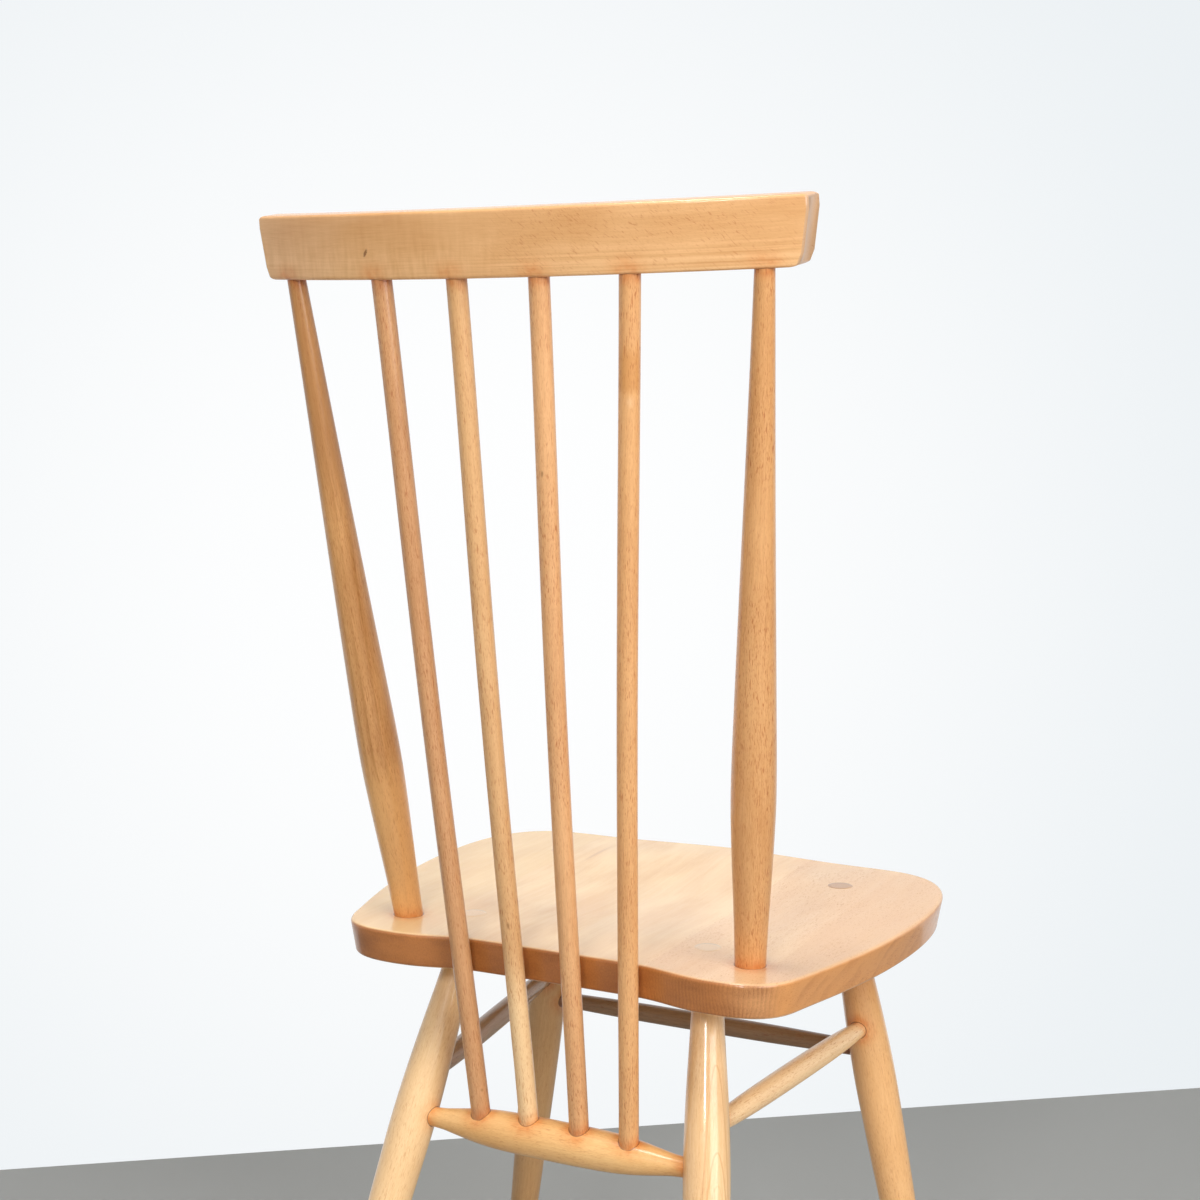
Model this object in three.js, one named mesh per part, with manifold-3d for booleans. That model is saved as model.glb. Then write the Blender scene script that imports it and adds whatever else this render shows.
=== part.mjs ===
// A tall stick-back kitchen chair of clear-lacquered beech.
// Millimetres, +Z up. The sitter faces -Y, so the back is at +Y and the sitter's left hand at +X.
// Heights are measured from the floor. Until the last line centres the chair, y is measured from
// the line across the back of the seat that its two rear corners almost reach.
import * as THREE from "three";
import { mergeVertices } from "three/addons/utils/BufferGeometryUtils.js";
import Module from "manifold-3d";

const wasm = await Module();
wasm.setup();

// Driving dimensions
const FIT_GAP = 0.3;
const SEAT_HEIGHT = 440;
const SEAT = {
  halfWidth: 203.5,
  widestY: -208,
  frontY: -338,
  rearHollowY: -8,
  rearCornerY: 3.5,
  thickness: 25,
  topRound: 2.5,
  bottomRound: 3,
  edgeLean: 3.5,
};
// Half of the seat's outline, from the middle of its front edge round to the middle of its rear
// edge: two handles and an end for each curve.
const SEAT_CURVES = [
  [[50, SEAT.frontY], [95, SEAT.frontY + 1.5], [140, SEAT.frontY + 7]],
  [[188, SEAT.frontY + 12], [SEAT.halfWidth + 1, -283], [SEAT.halfWidth, SEAT.widestY]],
  [[SEAT.halfWidth - 1.5, -130], [184, -70], [174, -34]],
  [[168.5, -8.5], [155, 4], [122, SEAT.rearCornerY]],
  [[95, SEAT.rearCornerY], [85, SEAT.rearHollowY + 1], [60, SEAT.rearHollowY + 0.5]],
  [[40, SEAT.rearHollowY], [20, SEAT.rearHollowY], [0, SEAT.rearHollowY]],
];
const DISH = { halfWidth: 165, halfDepth: 130, y: -185, depth: 4 };

// Each leg's axis leaves the seat top at (x, y) and moves out and back for every millimetre down.
const FRONT_LEG = { x: 119.7, y: -265.7, out: 0.166, back: -0.108 };
const REAR_LEG = { x: 92.7, y: -66, out: 0.153, back: 0.357 };
const LEG_TENON_RADIUS = 9.5;
const LEG_NECK = 32;

// Distance down the leg's axis from the seat top, and radius.
const LEG_SWELL = [
  [36, 10.6],
  [60, 12.1],
  [100, 14.5],
  [150, 16.1],
  [200, 15.4],
  [260, 13.9],
  [330, 12],
  [400, 10.7],
  [500, 9.6],
];

// Heights at which the stretchers' axes meet the legs' axes.
const SIDE_STRETCHER_Z = { front: 328.5, rear: 325.7 };
const FRONT_STRETCHER_Z = 308.2;
const REAR_STRETCHER_Z = 300.9;
const LEG_RADIUS_AT_STRETCHERS = 15.5;
const STRETCHER_TENON = 12;

// Share of the half length that shows, from the middle out, and radius.
const SIDE_SWELL = [[0, 8.5], [0.3, 8.4], [0.6, 8], [0.8, 7.4], [1, 6.4]];
const FRONT_SWELL = [[0, 7.5], [0.5, 7.3], [0.85, 6.5], [1, 6.2]];
const REAR_SWELL = [
  [0, 14.2],
  [0.3, 14],
  [0.5, 13.2],
  [0.65, 11.6],
  [0.8, 9.2],
  [0.9, 7.6],
  [1, 6.9],
];

// Each upright runs from a lower point to the point where it enters the top rail. Between its
// two fixed ends it is bent backwards, by bow at its middle.
const POST = { foot: [133.4, -41.8, 440], top: [168.9, 40.3, 897.9], bow: 0.8, tenon: 19 };
const STICKS = [
  { foot: [57.7, -13.3, 312], top: [89, 60.1, 895.9], bow: 3.3 },
  { foot: [19.6, -14, 312], top: [29.5, 66.1, 895.3], bow: 4.4 },
];
const STICK_TENON = 10;
const RAIL_TENON = 24;

// Share of the length up to the rail, and radius.
const POST_PROFILE = [
  [0, 10.5],
  [0.06, 11.4],
  [0.13, 12.9],
  [0.19, 14.1],
  [0.25, 14.9],
  [0.31, 14.7],
  [0.38, 13.9],
  [0.54, 11.9],
  [0.68, 10.1],
  [0.83, 8.3],
  [1, 6.4],
];
const STICK_RADIUS = 6.9;

const RAIL = {
  y: 66,
  bottomZ: 895.6,
  rake: THREE.MathUtils.degToRad(8.4),
  bowRadius: 527,
  thickness: 20,
  height: 43.1,
  drop: 1.3,
  halfTop: 198.2,
  halfBottom: 192.2,
  topCorner: 5.5,
  bottomCorner: 6.5,
  edgeRound: 2.2,
};

// Extra length on whatever is trimmed to size or cuts into something else.
const SPARE = 12;
const SLAB = { width: 1000, height: 60 };

// How finely the round shapes are divided.
const SEGMENTS = { leg: 20, stretcher: 18, post: 20, stick: 16, socket: 20, dish: 36 };
const LEG_SWELL_STEPS = 12;
const SEAT_CURVE_STEPS = 8;
const DISH_RINGS = 5;
const STICK_STEPS = 12;
const RAIL_ARC_STEPS = 24;
const RAIL_CORNER_STEPS = 6;
const RAIL_EDGE_STEPS = 2;
const SAME_POINT = 1e-4;

const chair = new THREE.Group();

function beech(colour, roughness) {
  return new THREE.MeshStandardMaterial({ color: colour, roughness, metalness: 0 });
}

const MATERIALS = {
  seat: beech(0xe9c79a, 0.42),
  legs: beech(0xd8a871, 0.38),
  back: beech(0xd7a468, 0.38),
};

// Booleans

// A mesh's geometry in the chair's space as a solid.
function solidOf(mesh) {
  mesh.updateMatrixWorld(true);
  const plain = mesh.geometry.clone();
  plain.deleteAttribute("normal");
  plain.deleteAttribute("uv");
  const merged = mergeVertices(plain.applyMatrix4(mesh.matrixWorld), SAME_POINT);
  return new wasm.Manifold(
    new wasm.Mesh({
      numProp: 3,
      vertProperties: merged.attributes.position.array,
      triVerts: new Uint32Array(merged.index.array),
    }),
  );
}

// Gives a mesh the shape of a solid that was worked out in the chair's space.
function takeShape(mesh, solid) {
  const { vertProperties, triVerts } = solid.getMesh();
  const geometry = new THREE.BufferGeometry();
  geometry.setAttribute("position", new THREE.BufferAttribute(vertProperties, 3));
  geometry.setIndex(new THREE.BufferAttribute(triVerts, 1));
  geometry.applyMatrix4(mesh.matrixWorld.clone().invert());
  geometry.computeVertexNormals();
  mesh.geometry = geometry;
}

function cut(mesh, ...tools) {
  const rest = tools.reduce((solid, tool) => solid.subtract(solidOf(tool)), solidOf(mesh));
  takeShape(mesh, rest);
}

function keepInside(mesh, limit) {
  takeShape(mesh, solidOf(mesh).intersect(solidOf(limit)));
}

// Turned pieces

// A round piece along +Z from [distance, radius] points, closed at both ends.
function turned(points, segments) {
  const profile = points.map(([z, radius]) => new THREE.Vector2(radius, z));
  profile.unshift(new THREE.Vector2(0, points[0][0]));
  profile.push(new THREE.Vector2(0, points.at(-1)[0]));
  return new THREE.LatheGeometry(profile, segments).rotateX(Math.PI / 2);
}

// Puts a piece whose own axis is +Z at a point, with that axis along a direction.
function aim(mesh, start, direction) {
  mesh.position.copy(start);
  mesh.quaternion.setFromUnitVectors(new THREE.Vector3(0, 0, 1), direction.clone().normalize());
  return mesh;
}

// A cylinder that drills a socket: it starts a little outside the opening.
function drill(mouth, direction, radius, depth) {
  const geometry = turned([[-SPARE, radius], [depth, radius]], SEGMENTS.socket);
  return aim(new THREE.Mesh(geometry), mouth, direction);
}

// Radii along a smooth curve through [distance, radius] points.
function smoothProfile(points, count) {
  const curve = new THREE.SplineCurve(points.map(([z, radius]) => new THREE.Vector2(z, radius)));
  return curve.getPoints(count).map((point) => [point.x, point.y]);
}

function addPiece(name, geometry, material) {
  const mesh = new THREE.Mesh(geometry, material);
  mesh.name = name;
  chair.add(mesh);
  return mesh;
}

// Seat

function seatOutline() {
  const half = new THREE.Path();
  half.moveTo(0, SEAT.frontY);
  for (const [[ax, ay], [bx, by], [x, y]] of SEAT_CURVES) {
    half.bezierCurveTo(ax, ay, bx, by, x, y);
  }
  const left = half.getPoints(SEAT_CURVE_STEPS);
  const right = left.slice(1, -1).reverse().map((point) => new THREE.Vector2(-point.x, point.y));
  return new THREE.Shape([...left, ...right]);
}

// How far the seat's edge stands in from its outline, level by level from the underside up.
function seatEdge() {
  const { thickness, topRound, bottomRound, edgeLean } = SEAT;
  const levels = [];
  for (const turn of [0, 0.25, 0.5, 0.75, 1]) {
    const angle = (turn * Math.PI) / 2;
    levels.push({
      z: bottomRound * (1 - Math.cos(angle)),
      inset: edgeLean + bottomRound * (1 - Math.sin(angle)),
    });
  }
  for (const turn of [0, 0.5, 1]) {
    const angle = (turn * Math.PI) / 2;
    levels.push({
      z: thickness - topRound * (1 - Math.sin(angle)),
      inset: topRound * (1 - Math.cos(angle)),
    });
  }
  return levels;
}

// The way out of the seat at a point on its outline, close to square on to the edge.
function edgeNormal(x, y) {
  const middleY = (SEAT.frontY + SEAT.rearCornerY) / 2;
  const halfLength = (SEAT.rearCornerY - SEAT.frontY) / 2;
  const across = (x / SEAT.halfWidth) ** 3 / SEAT.halfWidth;
  const along = ((y - middleY) / halfLength) ** 3 / halfLength;
  return new THREE.Vector2(across, along).normalize();
}

function seatBlank() {
  const levels = seatEdge();
  const steps = levels.length - 1;
  const geometry = new THREE.ExtrudeGeometry(seatOutline(), { depth: 1, steps, bevelEnabled: false });
  const position = geometry.attributes.position;
  for (let i = 0; i < position.count; i++) {
    const { z, inset } = levels[Math.round(position.getZ(i) * steps)];
    const point = new THREE.Vector2(position.getX(i), position.getY(i));
    point.addScaledVector(edgeNormal(point.x, point.y), -inset);
    position.setXYZ(i, point.x, point.y, SEAT_HEIGHT - SEAT.thickness + z);
  }
  return geometry;
}

// The hollow of the seat: a shallow bowl that is open upwards.
function dishTool() {
  const profile = [];
  for (let i = 0; i <= DISH_RINGS; i++) {
    const reach = i / DISH_RINGS;
    profile.push(new THREE.Vector2(reach, -DISH.depth * (1 - reach * reach) ** 2));
  }
  profile.push(new THREE.Vector2(1, SPARE));
  profile.push(new THREE.Vector2(0, SPARE));
  const geometry = new THREE.LatheGeometry(profile, SEGMENTS.dish).rotateX(Math.PI / 2);
  geometry.scale(DISH.halfWidth, DISH.halfDepth, 1);
  const tool = new THREE.Mesh(geometry);
  tool.position.set(0, DISH.y, SEAT_HEIGHT);
  return tool;
}

// A level slab, wider than the chair, that lies above or below a height.
function slab(z, side) {
  const mesh = new THREE.Mesh(new THREE.BoxGeometry(SLAB.width, SLAB.width, SLAB.height));
  mesh.position.z = z + (side * SLAB.height) / 2;
  return mesh;
}

const aboveSeat = slab(SEAT_HEIGHT, 1);
const belowFloor = slab(0, -1);

// Legs

function legPoint(leg, side, z) {
  const drop = SEAT_HEIGHT - z;
  return new THREE.Vector3(side * (leg.x + leg.out * drop), leg.y + leg.back * drop, z);
}

function legDirection(leg, side) {
  return new THREE.Vector3(side * leg.out, leg.back, -1).normalize();
}

function legGeometry() {
  const tenon = [[-SPARE, LEG_TENON_RADIUS], [LEG_NECK, LEG_TENON_RADIUS]];
  return turned([...tenon, ...smoothProfile(LEG_SWELL, LEG_SWELL_STEPS)], SEGMENTS.leg);
}

const LEGS = [
  { name: "leg_front_left", leg: FRONT_LEG, side: 1 },
  { name: "leg_front_right", leg: FRONT_LEG, side: -1 },
  { name: "leg_rear_left", leg: REAR_LEG, side: 1 },
  { name: "leg_rear_right", leg: REAR_LEG, side: -1 },
];

const dish = dishTool();
const seat = addPiece("seat", seatBlank(), MATERIALS.seat);
cut(seat, dish);
for (const { name, leg, side } of LEGS) {
  const direction = legDirection(leg, side);
  const top = legPoint(leg, side, SEAT_HEIGHT);
  const mesh = aim(addPiece(name, legGeometry(), MATERIALS.legs), top, direction);
  cut(mesh, aboveSeat, dish, belowFloor);
  cut(seat, drill(top, direction, LEG_TENON_RADIUS + FIT_GAP, SEAT.thickness + SPARE));
}

// Stretchers

// A stretcher between two legs' axes: round, swelled to the middle, its ends in the legs.
function addStretcher(name, from, to, swell) {
  const middle = from.clone().lerp(to, 0.5);
  const direction = to.clone().sub(from).normalize();
  const shown = from.distanceTo(to) / 2 - LEG_RADIUS_AT_STRETCHERS;
  const end = shown + STRETCHER_TENON;
  const endRadius = swell.at(-1)[1];
  const half = swell.map(([share, radius]) => [share * shown, radius]);
  half.push([end, endRadius]);
  const mirrored = half.slice(1).reverse().map(([distance, radius]) => [-distance, radius]);
  const geometry = turned([...mirrored, ...half], SEGMENTS.stretcher);
  aim(addPiece(name, geometry, MATERIALS.legs), middle, direction);
  for (const [joint, way] of [[from, -1], [to, 1]]) {
    const outward = direction.clone().multiplyScalar(way);
    const mouth = middle.clone().addScaledVector(outward, shown);
    const depth = STRETCHER_TENON + FIT_GAP;
    cut(chair.getObjectByName(joint.leg), drill(mouth, outward, endRadius + FIT_GAP, depth));
  }
}

function legJoint(name, z) {
  const { leg, side } = LEGS.find((entry) => entry.name === name);
  return Object.assign(legPoint(leg, side, z), { leg: name });
}

for (const hand of ["left", "right"]) {
  addStretcher(
    `stretcher_${hand}`,
    legJoint(`leg_rear_${hand}`, SIDE_STRETCHER_Z.rear),
    legJoint(`leg_front_${hand}`, SIDE_STRETCHER_Z.front),
    SIDE_SWELL,
  );
}
addStretcher(
  "stretcher_front",
  legJoint("leg_front_right", FRONT_STRETCHER_Z),
  legJoint("leg_front_left", FRONT_STRETCHER_Z),
  FRONT_SWELL,
);
addStretcher(
  "stretcher_rear",
  legJoint("leg_rear_right", REAR_STRETCHER_Z),
  legJoint("leg_rear_left", REAR_STRETCHER_Z),
  REAR_SWELL,
);

// Top rail

// The rail cut across: outward to the right and up, with rounded edges.
function railSection() {
  const { height, edgeRound } = RAIL;
  const half = RAIL.thickness / 2;
  const corners = [
    [half - edgeRound, height - edgeRound, 0],
    [edgeRound - half, height - edgeRound, 1],
    [edgeRound - half, edgeRound, 2],
    [half - edgeRound, edgeRound, 3],
  ];
  const shape = new THREE.Shape();
  for (const [x, y, quarter] of corners) {
    const start = (quarter * Math.PI) / 2;
    shape.absarc(x, y, edgeRound, start, start + Math.PI / 2, false);
  }
  return shape;
}

// The rail's section along an arc that is hollow towards the sitter and drops towards its ends.
function railGeometry() {
  const geometry = new THREE.ExtrudeGeometry(railSection(), {
    depth: 1,
    steps: RAIL_ARC_STEPS,
    curveSegments: RAIL_EDGE_STEPS,
    bevelEnabled: false,
  });
  const reach = Math.asin((RAIL.halfTop + SPARE) / RAIL.bowRadius);
  const position = geometry.attributes.position;
  for (let i = 0; i < position.count; i++) {
    const angle = (2 * position.getZ(i) - 1) * reach;
    const radius = RAIL.bowRadius + position.getX(i);
    const x = radius * Math.sin(angle);
    const y = radius * Math.cos(angle) - RAIL.bowRadius;
    position.setXYZ(i, x, y, position.getY(i) - RAIL.drop * (x / RAIL.halfTop) ** 2);
  }
  return geometry;
}

// What the rail's ends are cut to, from behind: sloping in towards the bottom, with rounded
// corners. Between its corners it stands clear of the rail above and below.
function railElevation() {
  const { halfTop, halfBottom, drop, topCorner, bottomCorner } = RAIL;
  const slope = (halfTop - halfBottom) / RAIL.height;
  const top = RAIL.height - drop;
  const bottom = -drop;
  const shape = new THREE.Shape();
  shape.moveTo(bottomCorner - halfBottom, bottom - SPARE);
  shape.lineTo(halfBottom - bottomCorner, bottom - SPARE);
  shape.lineTo(halfBottom - bottomCorner, bottom);
  shape.quadraticCurveTo(
    halfBottom, bottom, halfBottom + slope * bottomCorner, bottom + bottomCorner,
  );
  shape.lineTo(halfTop - slope * topCorner, top - topCorner);
  shape.quadraticCurveTo(halfTop, top, halfTop - topCorner, top);
  shape.lineTo(halfTop - topCorner, top + SPARE);
  shape.lineTo(topCorner - halfTop, top + SPARE);
  shape.lineTo(topCorner - halfTop, top);
  shape.quadraticCurveTo(-halfTop, top, slope * topCorner - halfTop, top - topCorner);
  shape.lineTo(-halfBottom - slope * bottomCorner, bottom + bottomCorner);
  shape.quadraticCurveTo(-halfBottom, bottom, bottomCorner - halfBottom, bottom);
  shape.closePath();
  return shape;
}

function placeRail(mesh) {
  mesh.position.set(0, RAIL.y, RAIL.bottomZ);
  mesh.rotation.x = -RAIL.rake;
  return mesh;
}

const rail = placeRail(addPiece("top_rail", railGeometry(), MATERIALS.back));
const elevation = new THREE.ExtrudeGeometry(railElevation(), {
  depth: RAIL.halfTop,
  curveSegments: RAIL_CORNER_STEPS,
  bevelEnabled: false,
});
elevation.rotateX(Math.PI / 2).translate(0, RAIL.halfTop / 2, 0);
keepInside(rail, placeRail(new THREE.Mesh(elevation)));

// Posts and sticks

// Bends a mesh that runs along its own +Z backwards between its two fixed ends.
function bendBack(mesh, length, bow) {
  const back = new THREE.Vector3(0, 1, 0).applyQuaternion(mesh.quaternion.clone().invert());
  const position = mesh.geometry.attributes.position;
  const point = new THREE.Vector3();
  for (let i = 0; i < position.count; i++) {
    point.fromBufferAttribute(position, i);
    const share = THREE.MathUtils.clamp(point.z / length, 0, 1);
    point.addScaledVector(back, bow * (4 * share * (1 - share)) ** 2);
    position.setXYZ(i, point.x, point.y, point.z);
  }
}

// A round upright from below its lower point to its tenon's end inside the rail, which it gives
// a socket. Returns the tool for the socket at its foot.
function addUpright(name, side, { foot, top, bow }, footTenon, profile, segments) {
  const low = new THREE.Vector3(side * foot[0], foot[1], foot[2]);
  const high = new THREE.Vector3(side * top[0], top[1], top[2]);
  const direction = high.clone().sub(low).normalize();
  const length = low.distanceTo(high);
  const points = profile.map(([share, radius]) => [share * length, radius]);
  const lowRadius = profile[0][1];
  const highRadius = profile.at(-1)[1];
  const geometry = turned(
    [[-footTenon, lowRadius], ...points, [length + RAIL_TENON, highRadius]],
    segments,
  );
  bendBack(aim(addPiece(name, geometry, MATERIALS.back), low, direction), length, bow);
  const down = direction.clone().negate();
  const footSocket = drill(low, down, lowRadius + FIT_GAP, footTenon + FIT_GAP);
  cut(rail, drill(high, direction, highRadius + FIT_GAP, RAIL_TENON + FIT_GAP));
  return footSocket;
}

const stickProfile = [];
for (let i = 0; i <= STICK_STEPS; i++) stickProfile.push([i / STICK_STEPS, STICK_RADIUS]);
for (const [hand, side] of [["left", 1], ["right", -1]]) {
  const name = `post_${hand}`;
  cut(seat, addUpright(name, side, POST, POST.tenon, POST_PROFILE, SEGMENTS.post));
}
const rearStretcher = chair.getObjectByName("stretcher_rear");
const stickOrder = [
  [STICKS[0], 1],
  [STICKS[1], 1],
  [STICKS[1], -1],
  [STICKS[0], -1],
];
stickOrder.forEach(([stick, side], i) => {
  const name = `stick_${i + 1}`;
  const socket = addUpright(name, side, stick, STICK_TENON, stickProfile, SEGMENTS.stick);
  cut(rearStretcher, socket);
});

// The chair is centred over the origin, front to back; its feet stand on z = 0.
const extent = new THREE.Box3().setFromObject(chair, true);
chair.position.y = -(extent.min.y + extent.max.y) / 2;

export default chair;
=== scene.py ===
import math

import bpy
import numpy as np
from mathutils import Matrix, Vector


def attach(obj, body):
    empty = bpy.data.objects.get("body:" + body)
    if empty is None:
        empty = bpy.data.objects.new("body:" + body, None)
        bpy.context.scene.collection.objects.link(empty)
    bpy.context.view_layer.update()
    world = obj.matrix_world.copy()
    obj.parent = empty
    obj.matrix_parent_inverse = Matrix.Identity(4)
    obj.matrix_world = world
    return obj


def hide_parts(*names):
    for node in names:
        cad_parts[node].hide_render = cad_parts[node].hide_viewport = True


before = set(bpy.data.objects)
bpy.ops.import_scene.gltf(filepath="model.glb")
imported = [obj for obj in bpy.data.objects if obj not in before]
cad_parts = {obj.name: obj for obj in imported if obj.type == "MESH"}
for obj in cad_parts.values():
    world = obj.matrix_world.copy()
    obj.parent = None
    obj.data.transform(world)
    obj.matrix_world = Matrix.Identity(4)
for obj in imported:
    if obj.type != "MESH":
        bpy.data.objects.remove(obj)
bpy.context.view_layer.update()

MM = 0.001  # a millimetre in metres

# The chair's own dimensions

CENTRING = 118.292  # the chair's y is measured from behind its seat, then centred by this much
SEAT_HEIGHT = 440.0
SEAT = dict(
    half_width=203.5, widest=-208.0, front=-338.0, hollow=-8.0, corner=3.5,
    thickness=25.0, top_round=2.5, bottom_round=3.0, lean=3.5,
)
DISH = dict(half_width=165.0, half_depth=130.0, y=-185.0, depth=4.0)
FRONT_RISE = (262.0, 338.0)  # how far forward the thighs' hollows and the ridge begin and are full
THIGHS = dict(x=92.0, width=36.0, depth=0.9)
RIDGE = dict(width=34.0, height=1.0)

FRONT_LEG = dict(x=119.7, y=-265.7, out=0.166, back=-0.108)
REAR_LEG = dict(x=92.7, y=-66.0, out=0.153, back=0.357)
LEGS = {
    "leg_front_left": dict(FRONT_LEG, side=1),
    "leg_front_right": dict(FRONT_LEG, side=-1),
    "leg_rear_left": dict(REAR_LEG, side=1),
    "leg_rear_right": dict(REAR_LEG, side=-1),
}
# Distance down from the seat's top, and radius.
LEG_PROFILE = [
    (-20, 9.5), (0, 9.5), (20, 9.5), (30, 9.8), (36, 10.6), (60, 12.1), (100, 14.5), (150, 16.1),
    (200, 15.4), (260, 13.9), (330, 12.0), (400, 10.7), (500, 9.6),
]
LEG_END_SUNK = 0.15  # how far a leg's end stands below the seat's top
FOOT_LIFT = 0.25  # and how far its foot stands over the floor
# Each kind of stretcher's heights on the axes of its two legs.
STRETCHER_HEIGHTS = {"side": (325.7, 328.5), "front": (308.2, 308.2), "rear": (300.9, 300.9)}
STRETCHERS = {
    "stretcher_left": dict(kind="side", legs=("leg_rear_left", "leg_front_left")),
    "stretcher_right": dict(kind="side", legs=("leg_rear_right", "leg_front_right")),
    "stretcher_front": dict(kind="front", legs=("leg_front_right", "leg_front_left")),
    "stretcher_rear": dict(kind="rear", legs=("leg_rear_right", "leg_rear_left")),
}
# Share of the half length that shows, and radius.
SWELLS = {
    "side": [(0, 8.5), (0.3, 8.4), (0.6, 8.0), (0.8, 7.4), (1, 6.4)],
    "front": [(0, 7.5), (0.5, 7.3), (0.85, 6.5), (1, 6.2)],
    "rear": [(0, 14.2), (0.3, 14.0), (0.5, 13.2), (0.65, 11.6), (0.8, 9.2), (0.9, 7.6), (1, 6.9)],
}
LEG_RADIUS_AT_STRETCHERS = 15.5
STRETCHER_TENON = 12.0

POST = dict(foot=(133.4, -41.8, 440.0), top=(168.9, 40.3, 897.9), bow=0.8, tenon=19.0)
# Share of the length that shows, and radius.
POST_PROFILE = [
    (0, 10.5), (0.06, 11.4), (0.13, 12.9), (0.19, 14.1), (0.25, 14.9), (0.31, 14.7), (0.38, 13.9),
    (0.54, 11.9), (0.68, 10.1), (0.83, 8.3), (1, 6.4),
]
OUTER_STICK = dict(foot=(57.7, -13.3, 312.0), top=(89.0, 60.1, 895.9), bow=3.3, tenon=10.0)
INNER_STICK = dict(foot=(19.6, -14.0, 312.0), top=(29.5, 66.1, 895.3), bow=4.4, tenon=10.0)
STICK_PROFILE = [(0, 6.9), (1, 6.9)]
STICK_MOUTH = 0.0034  # the share of a stick's length that is inside the rear stretcher
RAIL_TENON = 24.0
RAIL = dict(
    y=66.0, bottom=895.6, rake=math.radians(8.4), bow=527.0, drop=1.3, thickness=20.0, height=43.1,
    half_top=198.2, half_bottom=192.2, top_corner=5.5, bottom_corner=6.5,
    edge_round=2.2, end_round=1.6,
)


def place(x, y, z):
    """A point of the chair in the shared frame, still in millimetres."""
    return np.array([x, y + CENTRING, z], float)


# Curves


def smooth_through(points, at):
    """Heights of a smooth curve through (distance, height) points."""
    xs, ys = np.array(points, float).T
    steps = np.diff(xs)
    slopes = np.diff(ys) / steps
    tangents = np.empty_like(ys)
    tangents[1:-1] = (slopes[:-1] * steps[1:] + slopes[1:] * steps[:-1]) / (steps[1:] + steps[:-1])
    tangents[0], tangents[-1] = slopes[0], slopes[-1]
    at = np.clip(np.asarray(at, float), xs[0], xs[-1])
    i = np.clip(np.searchsorted(xs, at, "right") - 1, 0, len(steps) - 1)
    t = (at - xs[i]) / steps[i]
    return (
        (1 + 2 * t) * (1 - t) ** 2 * ys[i]
        + t * (1 - t) ** 2 * steps[i] * tangents[i]
        + t * t * (3 - 2 * t) * ys[i + 1]
        + t * t * (t - 1) * steps[i] * tangents[i + 1]
    )


def eased(x, low, high):
    """Rises smoothly from 0 to 1 as x goes from low to high."""
    t = np.clip((np.asarray(x, float) - low) / (high - low), 0, 1)
    return t * t * (3 - 2 * t)


def bezier(a, b, c, d, count):
    """Points on a cubic curve, without its last one."""
    t = np.linspace(0, 1, count, endpoint=False)[:, None]
    a, b, c, d = (np.array(p, float) for p in (a, b, c, d))
    return (1 - t) ** 3 * a + 3 * (1 - t) ** 2 * t * b + 3 * (1 - t) * t * t * c + t**3 * d


# Meshes

RIM_INSETS = (0.35, 3.0)  # the rings that soften a turned piece's rim, and lead in to its flat end
RIM_LIFT = 0.25
MEETING_STEPS = 8  # rounds in which a leaning end closes in on the surface it meets


def new_piece(name, points, grain, faces, material):
    """A smooth piece from points and grain coordinates in millimetres, standing for its node."""
    mesh = bpy.data.meshes.new(name)
    mesh.from_pydata((np.asarray(points) * MM).tolist(), [], faces)
    attribute = mesh.attributes.new("grain", "FLOAT_VECTOR", "POINT")
    attribute.data.foreach_set("vector", np.asarray(grain, np.float32).ravel())
    mesh.shade_smooth()
    mesh.validate()
    piece = bpy.data.objects.new(name + "_wood", mesh)
    bpy.context.scene.collection.objects.link(piece)
    mesh.materials.append(material)
    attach(piece, "root")
    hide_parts(name)
    return piece


def tube_faces(rings, sides):
    """Quads between closed rings of vertices, one after the other, and a face on each end."""
    faces = []
    for i in range(rings - 1):
        for j in range(sides):
            k = (j + 1) % sides
            faces.append((i * sides + j, i * sides + k, (i + 1) * sides + k, (i + 1) * sides + j))
    faces.append(tuple(reversed(range(sides))))
    faces.append(tuple(range((rings - 1) * sides, rings * sides)))
    return faces


def axes_of(direction):
    """Two directions square to a third, so that the three are right-handed."""
    along = np.array(direction, float) / np.linalg.norm(direction)
    across = np.cross([0.0, 1.0, 0.0], along)
    across /= np.linalg.norm(across)
    return across, np.cross(along, across), along


def seat_top(x, y):
    """Height of the seat's top over its rim, with y measured as the outline's is."""
    reach = (x / DISH["half_width"]) ** 2 + ((y - DISH["y"]) / DISH["half_depth"]) ** 2
    bowl = -DISH["depth"] * np.clip(1 - reach, 0, 1) ** 2
    near_front = eased(-y, *FRONT_RISE)
    thighs = -THIGHS["depth"] * np.exp(-(((np.abs(x) - THIGHS["x"]) / THIGHS["width"]) ** 2))
    middle = RIDGE["height"] * np.exp(-((x / RIDGE["width"]) ** 2))
    return bowl + near_front * (thighs + middle)


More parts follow.
